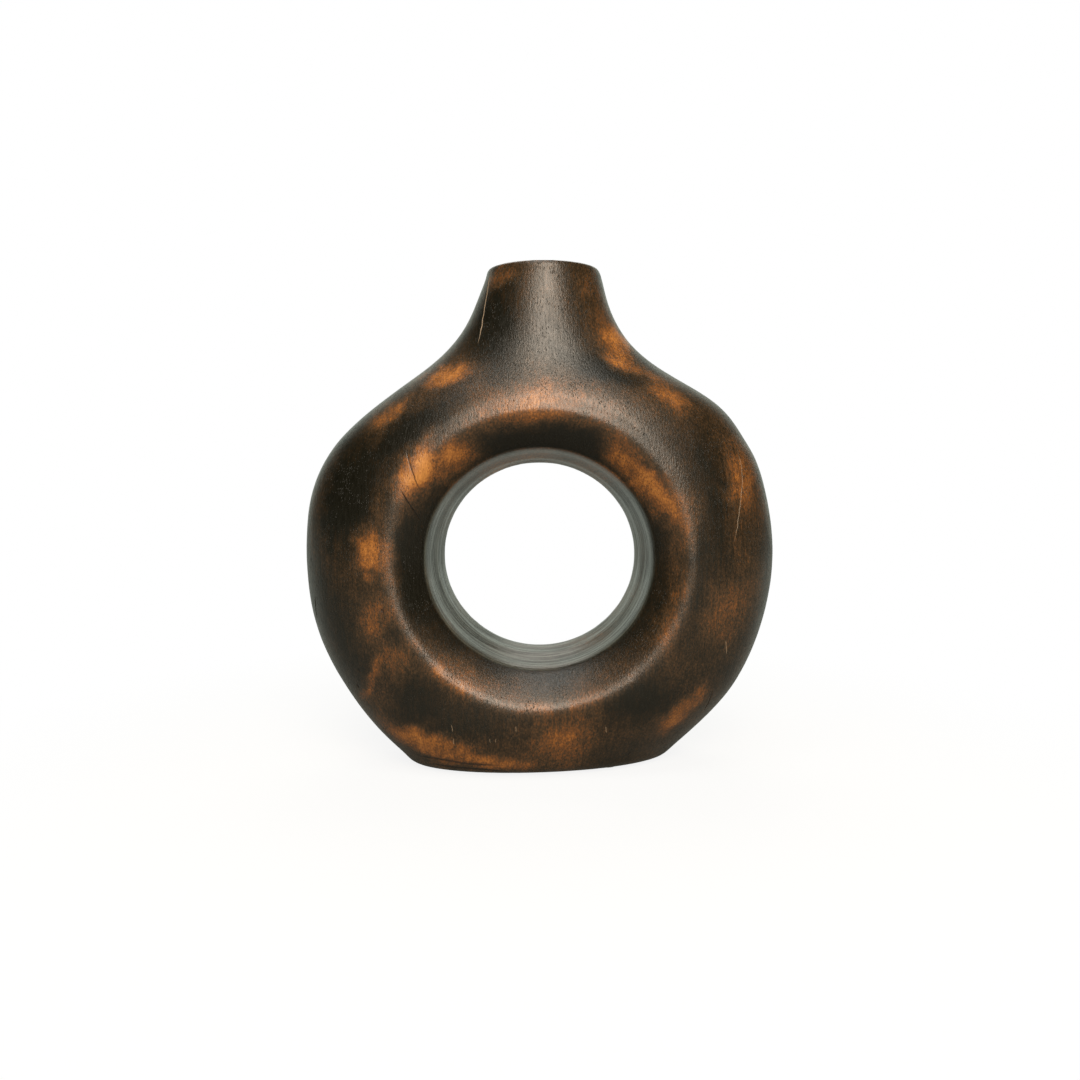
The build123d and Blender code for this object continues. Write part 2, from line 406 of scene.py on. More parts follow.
# Carved body: both planks as one shell, made finer, smoothed, finished by hand and cut apart
# again at the glue
carving = dict(
    grid=1.34, smoothRounds=5, smoothShare=0.5, tolerance=0.02, regain=0.25,
    toolMarks=[(38, 0.45), (15, 0.16)],  # size and depth of the carver's hollows
    # the hollows fade out this near to the foot and the rim, and lose this share in the hole
    keepFoot=8, keepRim=6, keepWall=0.8,
    baseTurn=0.11, baseTurnHeight=48,  # the foot is carved a little askew, up to this height
    # the waist is where the wall of the hole is narrowest, this deep on each side of the glue
    waistDepth=9, waistFade=6, waistSoftness=0.35, waistRegain=0.9,
    # the crest is sanded this soft by angle, from the right over the top
    crestBand=10.0, crestFade=6, crestRounds=88,
    crestSoftness=[
        (0, 0.14), (30, 0.5), (60, 0.4), (90, 0.25), (130, 0.7), (180, 0.5), (210, 0.14), (250, 0.10),
        (285, 0.10), (320, 0.4), (360, 0.14),
    ],
    # over the hole a shallow hollow sets the crest off: how far out, how wide, how deep, and by angle
    crestHollow=(6.0, 3.4, 0.55),
    hollowShare=[(0, 0.0), (35, 0.5), (60, 1.0), (110, 1.0), (145, 0.2), (180, 0.0), (360, 0.0)],
)


def nodeShell(names, tolerance):
    bm = bmesh.new()
    for name in names:
        bm.from_mesh(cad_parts[name].data)
    glue = [f for f in bm.faces if all(abs(v.co.y) < tolerance for v in f.verts)]
    bmesh.ops.delete(bm, geom=glue, context="FACES")
    bmesh.ops.remove_doubles(bm, verts=bm.verts, dist=tolerance / 10)
    mesh = bpy.data.meshes.new("shell")
    bm.to_mesh(mesh)
    bm.free()
    return mesh


def refined(mesh, plan):
    obj = bpy.data.objects.new("shell", mesh)
    scene.collection.objects.link(obj)
    remesh = obj.modifiers.new("remesh", "REMESH")
    remesh.mode = "VOXEL"
    remesh.voxel_size = plan["grid"] * mm
    smooth = obj.modifiers.new("smooth", "SMOOTH")
    smooth.factor = plan["smoothShare"]
    smooth.iterations = plan["smoothRounds"]
    made = bpy.data.meshes.new_from_object(obj.evaluated_get(bpy.context.evaluated_depsgraph_get()))
    bpy.data.objects.remove(obj)
    return made


def pointsOf(mesh):
    points = np.zeros(len(mesh.vertices) * 3)
    mesh.vertices.foreach_get("co", points)
    return points.reshape(-1, 3)


def placePoints(mesh, points):
    mesh.vertices.foreach_set("co", points.ravel())
    mesh.update()


def normalsOf(mesh):
    normals = np.zeros(len(mesh.vertices) * 3)
    mesh.vertex_normals.foreach_get("vector", normals)
    return normals.reshape(-1, 3)


def setAttribute(mesh, name, values):
    attribute = mesh.attributes.new(name, "FLOAT", "POINT")
    attribute.data.foreach_set("value", np.asarray(values, dtype=np.float32))


def eased(values):
    part = np.clip(values, 0, 1)
    return part * part * (3 - 2 * part)


def bell(off, reach):
    return np.exp(-((off / reach) ** 2))


def byAngle(angle, table):
    return np.interp(angle, *zip(*table))


def cloudOf(points, size, seed):
    shift = Vector((seed * 17.3, seed * 5.1, seed * 9.7))
    return np.array([noise.noise(Vector(p) / (size * mm) + shift) for p in points])


def outOfHole(points, flare):
    # how far out a point is, in shares of the hole's half sizes with this flare
    across = points[:, 0] / mm / (hole["width"] / 2 + flare)
    along = (points[:, 2] / mm - hole["middle"]) / (hole["rise"] / 2 + flare)
    return np.hypot(across, along)


def holeWall(points):
    # 1 on the wall of the hole, up to the lip, and 0 elsewhere
    depth = np.abs(points[:, 1]) / mm
    lipDepth = hole["lipDepth"]
    flare = hole["lipFlare"] * (np.minimum(depth, lipDepth) / lipDepth) ** hole["wallPower"]
    inReach = eased((hole["wallReach"] - outOfHole(points, flare)) / hole["wallFade"])
    return inReach * eased((lipDepth + hole["pastLip"] - depth) / hole["lipFade"])


def offCrestOf(points):
    # how far a point lies outside the crest, in mm, and at what angle round the hole
    off = (outOfHole(points, hole["crestFlare"]) - 1) * (hole["rise"] / 2 + hole["crestFlare"])
    angle = np.arctan2(points[:, 2] / mm - hole["middle"], points[:, 0] / mm)
    return off, np.degrees(angle) % 360


def softenCrest(mesh, points, plan):
    # each round draws a point towards the middle of its neighbours, at the crest and the waist
    offCrest, angle = offCrestOf(points)
    depth = np.abs(points[:, 1]) / mm
    share = byAngle(angle, plan["crestSoftness"]) * bell(offCrest, plan["crestBand"])
    share = share * eased((depth - hole["lipDepth"]) / plan["crestFade"])
    waist = holeWall(points) * eased((plan["waistDepth"] - depth) / plan["waistFade"])
    share = np.maximum(share, plan["waistSoftness"] * waist)
    edges = np.zeros(len(mesh.edges) * 2, dtype=np.int32)
    mesh.edges.foreach_get("vertices", edges)
    one, other = edges.reshape(-1, 2).T
    count = len(points)
    neighbours = np.bincount(one, minlength=count) + np.bincount(other, minlength=count)
    for _ in range(plan["crestRounds"]):
        for axis in range(3):
            line = points[:, axis]
            total = np.bincount(one, line[other], count) + np.bincount(other, line[one], count)
            points[:, axis] = line + 0.5 * share * (total / neighbours - line)
    return points


def finishByHand(mesh, plan):
    points = softenCrest(mesh, pointsOf(mesh), plan)
    placePoints(mesh, points)
    low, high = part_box("front_half")[0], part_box("back_half")[1]
    hollow = sum(depth * (0.5 + 0.5 * cloudOf(points, size, seed=size)) for size, depth in plan["toolMarks"])
    offCrest, angle = offCrestOf(points)
    out, width, depth = plan["crestHollow"]
    hollow += depth * byAngle(angle, plan["hollowShare"]) * bell(offCrest - out, width)
    overFoot = eased((points[:, 2] - low.z) / (plan["keepFoot"] * mm))
    belowRim = eased((high.z - points[:, 2]) / (plan["keepRim"] * mm))
    wall = holeWall(points)
    hollow *= overFoot * belowRim * (1 - plan["keepWall"] * wall)
    # what the smoothing took away is given back
    waist = eased((plan["waistDepth"] - np.abs(points[:, 1]) / mm) / plan["waistDepth"])
    regain = plan["regain"] + wall * plan["waistRegain"] * waist
    points -= normalsOf(mesh) * ((hollow - regain) * mm)[:, None]
    foot = 1 - eased((points[:, 2] - low.z) / (plan["baseTurnHeight"] * mm))
    points[:, 1] += plan["baseTurn"] * foot * points[:, 0]
    placePoints(mesh, np.clip(points, low, high))


shellMesh = refined(nodeShell(["front_half", "back_half"], carving["tolerance"] * mm), carving)
finishByHand(shellMesh, carving)
print("shell has", len(shellMesh.vertices), "points")


# Drying cracks, scratches and pale nicks on the front face: points by x and z, width, depth,
# and how dark or pale. The mesh is made finer this near to them, in turn.
crackMarks = dict(
    step=0.2, fineReach=[1.8, 0.7], waver=0.3, waverScale=300, castFrom=-300, strength=1.25,
    tip=0.25, taper=4,  # how wide a mark is at its ends, as a share, and how fast it widens
    lines=[
        ([(-27.4, 283.5), (-28.7, 272.6), (-30.6, 259.2), (-32.6, 244.9), (-33.6, 240)],
         0.24, 0.22, 0.0, 0.62),
        ([(109.6, 183.1), (111.7, 173.2), (111.9, 163.8), (110.0, 151.8), (108.1, 138.8), (106.3, 131.8)],
         0.20, 0.16, 0.0, 0.40),
        ([(103.2, 77.2), (104.1, 68.8)], 0.20, 0.12, 0.0, 0.45),
        ([(97.4, 47.7), (96.3, 41.5), (94.1, 33.7)], 0.30, 0.35, 1.0, 0.0),
        ([(-71.5, 181.2), (-68.6, 171.6), (-64.7, 160.8)], 0.24, 0.30, 0.9, 0.0),
        ([(-74.5, 160.9), (-71.0, 154.4), (-66.9, 147.2), (-64.4, 142.8)], 0.30, 0.35, 1.0, 0.0),
        ([(-127.3, 99.1), (-127.6, 92.5), (-127.2, 85.9)], 0.40, 0.40, 1.0, 0.0),
        ([(50.2, 9.9), (51.2, 12.6)], 0.25, 0.20, 1.0, 0.0),
        ([(-60.0, 6.3), (-49.4, 5.5), (-33.3, 5.3), (-18.1, 4.0)], 0.75, 0.18, 0.85, 0.0),
        ([(-67.6, 10.5), (-56.1, 10.1), (-38.8, 8.3), (-21.9, 8.2)], 0.65, 0.15, 0.75, 0.0),
        ([(-48.0, 32.0), (-47.8, 27.8)], 0.18, 0.08, 0.0, 0.40),
        ([(-47.1, 24.1), (-47.3, 20.2)], 0.18, 0.08, 0.0, 0.36),
        ([(-27.1, 24.4), (-27.2, 22.0)], 0.16, 0.08, 0.0, 0.36),
        ([(-23.8, 24.5), (-23.9, 22.1)], 0.16, 0.08, 0.0, 0.32),
        ([(-12.8, 31.8), (-12.8, 28.3)], 0.18, 0.08, 0.0, 0.36),
        ([(36.4, 30.8), (36.8, 26.6)], 0.18, 0.08, 0.0, 0.40),
        ([(-86.0, 95.6), (-84.6, 94.0)], 1.1, 0.30, 0.8, 0.0),
        ([(-101.0, 60.6), (-100.2, 59.0)], 0.9, 0.35, 0.9, 0.0),
        ([(-102.8, 50.4), (-102.0, 48.6)], 0.8, 0.30, 0.9, 0.0),
    ],
)


def marksOn(tree, plan):
    marks = []
    start, scale = plan["castFrom"] * mm, plan["waverScale"]
    for line, width, depth, dark, pale in plan["lines"]:
        corners = np.array(line) * mm
        lengths = np.linalg.norm(np.diff(corners, axis=0), axis=1)
        along = np.concatenate([[0], np.cumsum(lengths)])
        for way in np.arange(0, along[-1], plan["step"] * mm):
            x, z = np.interp(way, along, corners[:, 0]), np.interp(way, along, corners[:, 1])
            waver = plan["waver"] * mm * noise.noise(Vector((x * scale, z * scale, 0)))
            hit = tree.ray_cast(Vector((x + waver, start, z)), Vector((0, 1, 0)))[0]
            if hit:
                toEnd = min(way, along[-1] - way) / along[-1]
                taper = min(1.0, plan["tip"] + plan["taper"] * toEnd)
                marks.append((hit, width * taper * mm, depth * taper * mm, dark, pale))
    return marks


def cutMarks(mesh, plan):
    bm = bmesh.new()
    bm.from_mesh(mesh)
    marks = marksOn(BVHTree.FromBMesh(bm), plan)
    tree = kdtree.KDTree(len(marks))
    for number, mark in enumerate(marks):
        tree.insert(mark[0], number)
    tree.balance()
    for reach in plan["fineReach"]:
        bm.verts.index_update()
        near = {v.index for v in bm.verts if tree.find(v.co)[2] < reach * mm}
        edges = [e for e in bm.edges if e.verts[0].index in near and e.verts[1].index in near]
        bmesh.ops.subdivide_edges(bm, edges=edges, cuts=2, use_grid_fill=True)
    bm.normal_update()
    bm.verts.index_update()
    crack, pale = np.zeros(len(bm.verts)), np.zeros(len(bm.verts))
    for v in bm.verts:
        _, number, distance = tree.find(v.co)
        if distance > plan["fineReach"][0] * mm:
            continue
        _, width, depth, darkness, paleness = marks[number]
        share = math.exp(-((distance / width) ** 2))
        v.co -= v.normal * depth * share
        crack[v.index] = darkness * min(1.0, plan["strength"] * share)
        pale[v.index] = paleness * min(1.0, plan["strength"] * share)
    bm.to_mesh(mesh)
    bm.free()
    setAttribute(mesh, "crack", crack)
    setAttribute(mesh, "pale", pale)


cutMarks(shellMesh, crackMarks)
print("cracks are cut")


# Where the stain is rubbed back or lies thick on the front face, with some painted shade and
# painted light among them: middle x and z, half width, half height, turn in degrees and how much
# lighter or darker. The back has them turned over.
stainAndPaintedLightPatches = dict(
    ground=0.785, cloud=0.16, cloudSize=30, patchy=0.35, patchySize=7,
    patchFall=0.9, patchPower=1.3,  # how soon a patch fades, and how sharply
    overEdge=24,  # the front's patches give way to the back's over this depth
    warp=[(30, 6.0), (11, 3.0), (4.5, 2.2)],  # size and reach of what moves the patches' edges
    # painted shade: a dark ring just outside the lip, where the funnel turns into the hole
    paintedLipShade=0.20, paintedLipShadeReach=6.0,
    # lighter along the crest: stain worn off the ridge, and painted highlight where it catches the light,
    # most at the lower left
    crestWearAndHighlight=0.17, crestWearAndHighlightReach=4.0, crestWearAndHighlightSize=9,
    crestWearAndHighlightAngles=[
        (0, 0.6), (40, 0.4), (90, 0.2), (140, 0.6), (180, 1.2), (225, 1.5), (300, 0.8), (360, 0.6),
    ],
    # the wall of the hole is browner towards its top, and its wax coat and painted reflection fade there
    wall=0.76, wallCloud=0.35, wallCloudSize=24, wallTop=146, wallTopFade=22, wallTopRub=0.42,
    coatAndReflectionTopFade=24, coatAndReflectionTopLoss=0.75,
    rubbed=[
        (-51, 222, 15, 7, 10, 0.52), (-80, 204, 14, 6, 30, 0.40), (-66, 171, 8, 16, -25, 0.72),
        (-94, 129, 10, 11, -20, 0.64), (-95, 113, 4, 4, 0, 0.30), (-89, 90, 9, 10, 20, 0.32),
        (-78, 68, 8, 10, 0, 0.30), (-92, 56, 5, 18, -35, 0.40), (-60, 19, 24, 8, -20, 0.58),
        (-34, 9, 30, 5, -3, 0.44), (11, 23, 18, 18, 0, 0.32), (80, 36, 7, 18, -42, 0.40),
        (105, 95, 12, 30, -10, 0.20), (111, 165, 8, 18, 12, 0.36), (68, 211, 15, 8, -30, 0.38),
        (44, 239, 10, 19, 36, 0.52), (62, 222, 9, 5, -30, 0.30), (30, 270, 7, 13, 10, 0.16),
        (-22, 277, 9, 7, 0, 0.32), (-6, 206, 52, 12, 0, 0.32), (54, 168, 7, 32, 36, 0.56),
        # (-28, 57) is painted sheen low in the funnel; (0, 24) makes the body lighter towards its foot:
        # painted light
        (-48, 178, 18, 8, 36, 0.40), (-28, 57, 26, 6, -22, 0.16), (73, 150, 6, 22, 12, 0.22),
        (-84, 132, 5, 26, 5, 0.16), (74, 92, 6, 16, -20, 0.22), (0, 24, 92, 36, 0, 0.07),
    ],
    burntAndPaintedShade=[
        (-104, 158, 16, 34, -12, 0.34), (-74, 117, 9, 42, 5, 0.24), (-44, 33, 42, 14, -8, 0.14),
        (-68, 41, 15, 12, 15, 0.28), (55, 43, 24, 14, 20, 0.29), (96, 148, 9, 42, 8, 0.20),
        (90, 122, 6, 30, 0, 0.20), (-26, 253, 14, 24, 0, 0.22), (-68, 193, 40, 7, 30, 0.28),
        # (36, 225) is the crease at the neck's foot, partly stain and partly painted shade; (0, 188) is
        # painted shade on the funnel's underside over the hole
        (36, 225, 30, 5.5, -17, 0.32), (0, 188, 46, 6, 0, 0.20), (-112, 70, 14, 30, 30, 0.18),
        (40, 270, 7, 15, 10, 0.22),
    ],
)


def patchAmount(points, patches, plan):
    amount = np.zeros(len(points))
    for x, z, halfWidth, halfHeight, turn, strength in patches:
        dx, dz = points[:, 0] - x * mm, points[:, 2] - z * mm
        cosine, sine = math.cos(math.radians(turn)), math.sin(math.radians(turn))
        across = (dx * cosine + dz * sine) / (halfWidth * mm)
        along = (-dx * sine + dz * cosine) / (halfHeight * mm)
        fall = plan["patchFall"] * (across**2 + along**2) ** plan["patchPower"]
        amount = np.maximum(amount, strength * np.exp(-fall))
    return amount


def patchesOf(points, plan):
    return patchAmount(points, plan["burntAndPaintedShade"], plan) - patchAmount(points, plan["rubbed"], plan)


def stainAndPaintedLightOf(points, wall, plan):
    warped = points.copy()
    for number, (size, reach) in enumerate(plan["warp"]):
        warped[:, 0] += cloudOf(points, size, seed=number + 1) * reach * mm
        warped[:, 2] += cloudOf(points, size, seed=number + 11) * reach * mm
    front = eased(0.5 - points[:, 1] / (plan["overEdge"] * mm))
    turnedOver = warped * np.array([-1, 1, 1])
    patches = front * patchesOf(warped, plan) + (1 - front) * patchesOf(turnedOver, plan)
    patches *= 1 + plan["patchy"] * cloudOf(points, plan["patchySize"], seed=7)
    stainAndPaintedLight = plan["ground"] + plan["cloud"] * cloudOf(points, plan["cloudSize"], seed=5) + patches

    # the crest is made lighter: wear, and painted highlight
    offCrest, angle = offCrestOf(points)
    wornAndLit = byAngle(angle, plan["crestWearAndHighlightAngles"]) * (1 + cloudOf(points, plan["crestWearAndHighlightSize"], seed=21))
    stainAndPaintedLight -= plan["crestWearAndHighlight"] * wornAndLit * bell(offCrest, plan["crestWearAndHighlightReach"]) * (1 - wall)
    top = eased((points[:, 2] / mm - plan["wallTop"]) / plan["wallTopFade"])
    wallStain = plan["wall"] - plan["wallTopRub"] * top
    wallStain -= plan["wallCloud"] * cloudOf(points, plan["wallCloudSize"], seed=9)
    # the painted shade by the lip is added last
    offLip = (outOfHole(points, hole["lipFlare"]) - 1) * hole["rise"] / 2
    return stainAndPaintedLight + wall * (wallStain - stainAndPaintedLight) + plan["paintedLipShade"] * bell(offLip, plan["paintedLipShadeReach"])


def stainAndPaintedLightOnShell(mesh, plan):
    points = pointsOf(mesh)
    wall = holeWall(points)
    setAttribute(mesh, "stainAndPaintedLight", stainAndPaintedLightOf(points, wall, plan))
    # the wall's coat and painted reflection fade towards its top
    top = eased((points[:, 2] / mm - plan["wallTop"]) / plan["coatAndReflectionTopFade"])
    setAttribute(mesh, "wall", wall * (1 - plan["coatAndReflectionTopLoss"] * top))


def smoothMesh(bm, name):
    mesh = bpy.data.meshes.new(name)
    bm.to_mesh(mesh)
    bm.free()
    for polygon in mesh.polygons:
        polygon.use_smooth = True
    return mesh


def plankFrom(mesh, keepFront, name):
    bm = bmesh.new()
    bm.from_mesh(mesh)
    cut = bmesh.ops.bisect_plane(
        bm, geom=bm.verts[:] + bm.edges[:] + bm.faces[:], plane_co=(0, 0, 0), plane_no=(0, 1, 0),
        clear_outer=keepFront, clear_inner=not keepFront)
    rim = [e for e in cut["geom_cut"] if isinstance(e, bmesh.types.BMEdge)]
    bmesh.ops.triangle_fill(bm, edges=rim, use_beauty=True, normal=(0, 1 if keepFront else -1, 0))
    bmesh.ops.recalc_face_normals(bm, faces=bm.faces)
    for edge in rim:
        if edge.is_valid:
            edge.smooth = False
    return smoothMesh(bm, name)


def addPiece(name, mesh, body, material, node):
    piece = bpy.data.objects.new(name, mesh)
    mesh.materials.append(material)
    scene.collection.objects.link(piece)
    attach(piece, body)
    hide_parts(node)
    print(name, "has", len(mesh.polygons), "faces")


stainAndPaintedLightOnShell(shellMesh, stainAndPaintedLightPatches)
for side in ("front", "back"):
    plank = plankFrom(shellMesh, side == "front", side + "_plank")
    addPiece(side + "_plank", plank, "vase", woodMaterial, side + "_half")


# Round pieces, turned about a line up through a place. Their profiles are in mm.
def turned(name, profile, place, steps):
    angles = np.linspace(0, 2 * math.pi, steps, endpoint=False)
    bm = bmesh.new()
    rings = []
    for radius, height in profile:
        reach = radius * mm
        rings.append([
            bm.verts.new((place[0] + reach * math.cos(a), place[1] + reach * math.sin(a), height * mm))
            for a in (angles if radius > 0 else [0.0])])
    for low, high in zip(rings, rings[1:]):
        for i in range(steps):
            j = (i + 1) % steps
            corners = [low[i % len(low)], low[j % len(low)], high[j % len(high)], high[i % len(high)]]
            corners = list(dict.fromkeys(corners))
            if len(corners) > 2:
                bm.faces.new(corners)
    bmesh.ops.recalc_face_normals(bm, faces=bm.faces)
    return smoothMesh(bm, name)


def arc(middle, radius, start, end, steps):
    turns = np.radians(np.linspace(start, end, steps))
    return [(middle[0] + radius * math.cos(t), middle[1] + radius * math.sin(t)) for t in turns]


def middleOf(low, high):
    return (low.x + high.x) / 2, (low.y + high.y) / 2


# Glass tube: a round bottom, a straight wall and a lip melted round at its edges
glassTube = dict(
    wall=1.6, lipReach=3.0, lipHeight=2.5, edge=0.75,
    steps=96, bendSteps=14, wallSteps=12, seatSteps=4, edgeSteps=6,
    colour=(0.93, 0.975, 0.955), ior=1.47,
    smudgeScale=70.0, smudge=(0.45, 0.75), roughness=(0.015, 0.11),
    dustScale=900.0, dust=(0.60, 0.75), dustShare=0.35, dustColour=(0.82, 0.84, 0.80),
    drawnStretch=0.25, drawnScale=180.0, bumpReach=0.05,
)


def makeClearGlass(plan):
    material, tree, bsdf = newMaterial("clearGlass")
    point = objectPoint(tree)
    smudge = noiseOf(tree, point, plan["smudgeScale"], detail=4.0, roughness=0.6)
    plug(tree, bsdf.inputs["Roughness"], remap(tree, smudge, *plan["smudge"], *plan["roughness"]))
    dust = noiseOf(tree, point, plan["dustScale"], detail=1.0)
    dusty = remap(tree, dust, *plan["dust"], 0.0, plan["dustShare"])
    plug(tree, bsdf.inputs["Base Color"], mixColour(tree, dusty, plan["colour"], plan["dustColour"]))
    bsdf.inputs["Transmission Weight"].default_value = 1.0
    bsdf.inputs["IOR"].default_value = plan["ior"]
    drawn = noiseOf(tree, upGrain(tree, point, plan["drawnStretch"]), plan["drawnScale"], detail=1.0)
    bumpFrom(tree, bsdf, drawn, plan["bumpReach"])
    return material


def makeGlassTube(plan):
    low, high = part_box("glass_tube")
    lip, top, bottom = (high.x - low.x) / 2 / mm, high.z / mm, low.z / mm
    radius, seat, edge = lip - plan["lipReach"], top - plan["lipHeight"], plan["edge"]
    inner, bend = radius - plan["wall"], bottom + radius
    bendSteps, edgeSteps = plan["bendSteps"], plan["edgeSteps"]
    ways = [k / plan["wallSteps"] for k in range(1, plan["wallSteps"])]
    profile = arc((0, bend), radius, -90, 0, bendSteps)
    profile += [(radius, bend + (seat - bend) * way) for way in ways]
    profile += arc((radius + edge, seat - edge), edge, 180, 90, plan["seatSteps"])[:-1]
    profile += arc((lip - edge, seat + edge), edge, -90, 0, edgeSteps)
    profile += arc((lip - edge, top - edge), edge, 0, 90, edgeSteps)
    profile += arc((inner + edge, top - edge), edge, 90, 180, edgeSteps)
    profile += [(inner, top - edge - (top - edge - bend) * way) for way in ways]
    profile += arc((0, bend), inner, 0, -90, bendSteps)
    # both ends lie on the axis
    profile[0] = (0.0, profile[0][1])
    profile[-1] = (0.0, profile[-1][1])
    mesh = turned("glass_insert", profile, middleOf(low, high), plan["steps"])
    addPiece("glass_insert", mesh, "tube", makeClearGlass(plan), "glass_tube")


makeGlassTube(glassTube)


# Felt pads: pressed discs with a soft edge and fibres that stand off it
feltPads = dict(
    edge=0.45, steps=72, faceSteps=9, lowSteps=5, highSteps=4, fuzz=0.10, fuzzSize=0.9, fuzzyFrom=0.8,
    colour=(0.030, 0.024, 0.019), light=(0.075, 0.062, 0.050),
    fibreScale=2600.0, fibreRange=(0.40, 0.68), woolScale=420.0, woolRange=(0.35, 0.7), woolShare=0.5,
    roughRange=(0.3, 0.7), roughness=(0.85, 1.0), sheen=0.4, sheenRoughness=0.5, bumpReach=0.12,
)


def makeFelt(plan):
    material, tree, bsdf = newMaterial("pressedFelt")
    point = objectPoint(tree)
    fibres = noiseOf(tree, point, plan["fibreScale"], detail=4.0, roughness=0.7, distortion=2.0)
    wool = noiseOf(tree, point, plan["woolScale"])
    colour = mixColour(tree, remap(tree, fibres, *plan["fibreRange"]), plan["colour"], plan["light"])
    woolly = remap(tree, wool, *plan["woolRange"], 0.0, plan["woolShare"])
    plug(tree, bsdf.inputs["Base Color"], mixColour(tree, woolly, colour, plan["colour"]))
    plug(tree, bsdf.inputs["Roughness"], remap(tree, fibres, *plan["roughRange"], *plan["roughness"]))
    bsdf.inputs["Sheen Weight"].default_value = plan["sheen"]
    bsdf.inputs["Sheen Roughness"].default_value = plan["sheenRoughness"]
    bumpFrom(tree, bsdf, fibres, plan["bumpReach"])
    return material


def makePad(node, felt, plan):
    low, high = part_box(node)
    place = middleOf(low, high)
    radius, top, edge = (high.x - low.x) / 2 / mm - plan["fuzz"], high.z / mm, plan["edge"]
    ways = [k / plan["faceSteps"] for k in range(1, plan["faceSteps"])]
    profile = [(0.0, 0.0)] + [(radius * way, 0.0) for way in ways]
    profile += arc((radius - edge, edge), edge, -90, 0, plan["lowSteps"])
    profile += arc((radius - edge / 2, top - edge / 2), edge / 2, 0, 90, plan["highSteps"])
    profile += [(radius * way, top) for way in reversed(ways)] + [(0.0, top)]
    mesh = turned("felt_" + node, profile, place, plan["steps"])
    points = pointsOf(mesh)
    outward = points[:, :2] - np.array(place)
    reach = np.hypot(*outward.T)
    outward /= np.maximum(reach, 1e-9)[:, None]  # the point in the middle stays there
    rim = eased((reach - plan["fuzzyFrom"] * radius * mm) / ((1 - plan["fuzzyFrom"]) * radius * mm))
    fuzz = rim * cloudOf(points, plan["fuzzSize"], seed=3) * plan["fuzz"] * mm
    points[:, :2] += outward * fuzz[:, None]
    placePoints(mesh, points)
    addPiece("felt_" + node, mesh, "vase", felt, node)


feltMaterial = makeFelt(feltPads)
for padNode in sorted(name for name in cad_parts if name.startswith("pad_")):
    makePad(padNode, feltMaterial, feltPads)


# Dowels: their solids have the right shape and get raw beech, with its short dark flecks
rawBeech = dict(
    colour=(0.52, 0.33, 0.17), late=(0.40, 0.235, 0.11), fleck=(0.17, 0.085, 0.035), fleckShare=0.8,
    pith=(0.02, 0.3, 0.0),  # in metres
    ringGap=1.6, ringWaver=1.5, fibreWidth=0.5, poreWidth=0.35,
    roughness=(0.62, 0.80), bumpReach=0.06,
)


def makeRawBeech(plan):
    material, tree, bsdf = newMaterial("rawBeech")
    # the grain runs along the dowels, which lie in Y
    along = addNode(tree, "ShaderNodeMapping")
    along.inputs["Rotation"].default_value = (math.radians(90), 0, 0)
    plug(tree, along.inputs["Vector"], objectPoint(tree))
    grain = grainOf(tree, along.outputs[0], plan["pith"], plan)
    colour = mixColour(tree, grain["Rings"], plan["colour"], plan["late"])
    flecks = calc(tree, "MULTIPLY", grain["Pores"], plan["fleckShare"])
    plug(tree, bsdf.inputs["Base Color"], mixColour(tree, flecks, colour, plan["fleck"]))
    plug(tree, bsdf.inputs["Roughness"], remap(tree, grain["Fibres"], 0.0, 1.0, *plan["roughness"]))
    bumpFrom(tree, bsdf, grain["Fibres"], plan["bumpReach"])
    return material


beech = makeRawBeech(rawBeech)
for nodeName, node in sorted(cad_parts.items()):
    if nodeName.startswith("dowel_"):
        for place in node.material_slots:
            place.material = beech
print("tube, pads and dowels are dressed")


# Studio, in metres: a white floor and a white wall behind, a darker room, and three soft lights,
# in front, above and behind. The floor is all white past the fade, and what gloss shows of it
# grows towards the back. The light that it bounces is darker than what is seen of it.
studio = dict(
    white=(1.0, 1.0, 1.0),
    floorSize=8.0, floorColour=(0.80, 0.79, 0.76), floorBounce=(0.24, 0.235, 0.22), floorGlow=0.86,
    fade=(0.10, 0.42), floorBack=(-0.05, 0.24), floorReflection=(0.06, 0.50),
    wallColour=(0.90, 1.0, 0.88), wallLight=0.80, wallReflection=1.0, wallEdge=(0.50, 0.82),
    roomLight=0.16, roomReflection=0.03,
    lights=[
        # name, turn to the right from the front, angle up, distance, width, height, watts, colour
        ("key", 6, 27, 1.30, 0.70, 1.00, 25.0, (1.0, 0.88, 0.73)),
        ("top", -12, 70, 1.20, 0.70, 0.40, 4.6, (0.94, 1.0, 0.97)),
        ("back", 186, 58, 1.60, 1.20, 0.90, 9.0, (1.0, 0.93, 0.84)),
    ],
)


def whiteRays(tree):
    rays = addNode(tree, "ShaderNodeLightPath")
    shown = calc(tree, "MAXIMUM", rays.outputs["Is Camera Ray"], rays.outputs["Is Transmission Ray"])
    # light bent by rough glass counts as glossy too, and is left out here
    glossy = calc(tree, "MULTIPLY", rays.outputs["Is Glossy Ray"], calc(tree, "SUBTRACT", 1.0, shown))
    return shown, glossy


def blendValues(tree, share, a, b):
    return calc(tree, "MULTIPLY_ADD", share, calc(tree, "SUBTRACT", b, a), a)


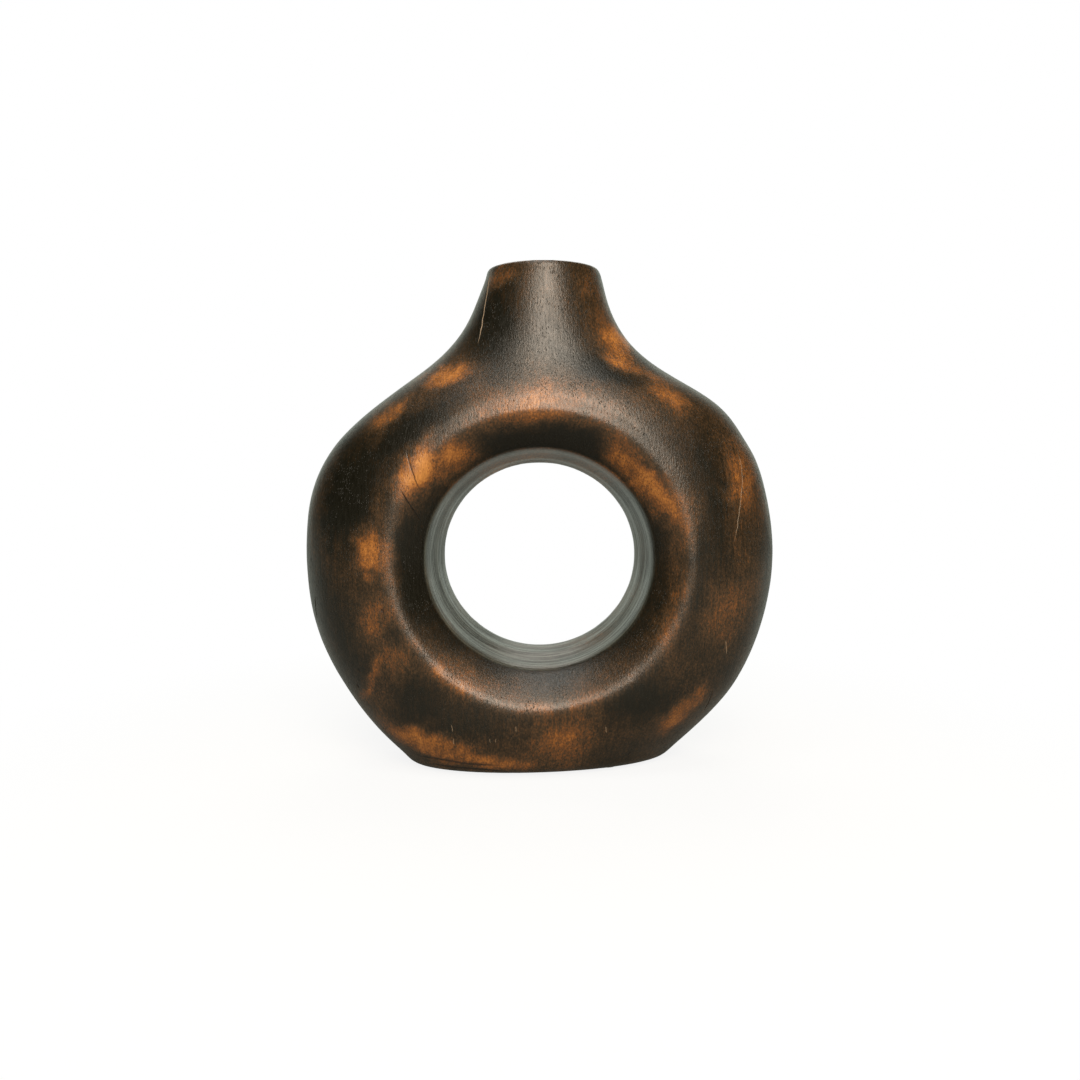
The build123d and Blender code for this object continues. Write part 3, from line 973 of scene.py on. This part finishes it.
def makeWorld(plan):
    world = bpy.data.worlds.new("studio")
    scene.world = world
    world.use_nodes = True
    tree = world.node_tree
    tree.nodes.clear()
    shown, glossy = whiteRays(tree)
    direction = splitPoint(tree, addNode(tree, "ShaderNodeTexCoord").outputs["Generated"])
    room = blendValues(tree, glossy, plan["roomLight"], plan["roomReflection"])
    wall = blendValues(tree, glossy, plan["wallLight"], plan["wallReflection"])
    level = blendValues(tree, remap(tree, direction["Y"], *plan["wallEdge"]), room, wall)
    background = addNode(tree, "ShaderNodeBackground")
    plug(tree, background.inputs["Color"], mixColour(tree, shown, plan["wallColour"], plan["white"]))
    plug(tree, background.inputs["Strength"], blendValues(tree, shown, level, 1.0))
    out = addNode(tree, "ShaderNodeOutputWorld")
    plug(tree, out.inputs["Surface"], background.outputs[0])


def makePaper(plan):
    material = bpy.data.materials.new("floor")
    material.use_nodes = True
    tree = material.node_tree
    tree.nodes.clear()
    shown, glossy = whiteRays(tree)
    point = objectPoint(tree)
    paper = addNode(tree, "ShaderNodeBsdfDiffuse")
    paperColour = mixColour(tree, shown, plan["floorBounce"], plan["floorColour"])
    plug(tree, paper.inputs["Color"], paperColour)
    glow = addNode(tree, "ShaderNodeEmission")
    plug(tree, glow.inputs["Color"], mixColour(tree, glossy, plan["white"], plan["wallColour"]))
    white = remap(tree, lengthOf(tree, point), *plan["fade"], plan["floorGlow"], 1.0)
    mirrored = remap(tree, splitPoint(tree, point)["Y"], *plan["floorBack"], *plan["floorReflection"])
    share = calc(tree, "MULTIPLY_ADD", glossy, mirrored, calc(tree, "MULTIPLY", shown, white))
    mix = addNode(tree, "ShaderNodeMixShader")
    plug(tree, mix.inputs[0], share)
    plug(tree, mix.inputs[1], paper.outputs[0])
    plug(tree, mix.inputs[2], glow.outputs[0])
    out = addNode(tree, "ShaderNodeOutputMaterial")
    plug(tree, out.inputs["Surface"], mix.outputs[0])
    return material


def makeFloor(plan):
    bm = bmesh.new()
    bmesh.ops.create_grid(bm, x_segments=1, y_segments=1, size=plan["floorSize"] / 2)
    mesh = bpy.data.meshes.new("floor")
    bm.to_mesh(mesh)
    bm.free()
    mesh.materials.append(makePaper(plan))
    floor = bpy.data.objects.new("floor", mesh)
    scene.collection.objects.link(floor)


def makeLights(plan):
    low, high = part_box("front_half")
    aim = Vector((0, 0, (low.z + high.z) / 2))
    for name, turn, rise, distance, width, height, watts, colour in plan["lights"]:
        data = bpy.data.lights.new(name, "AREA")
        data.shape = "RECTANGLE"
        data.size, data.size_y = width, height
        data.energy = watts
        data.color = colour
        side, up = math.radians(turn), math.radians(rise)
        away = Vector((math.sin(side) * math.cos(up), -math.cos(side) * math.cos(up), math.sin(up)))
        lamp = bpy.data.objects.new(name, data)
        lamp.location = aim + away * distance
        lamp.rotation_euler = away.to_track_quat("Z", "Y").to_euler()
        lamp.visible_camera = False
        scene.collection.objects.link(lamp)


makeWorld(studio)
makeFloor(studio)
makeLights(studio)
print("studio is lit")
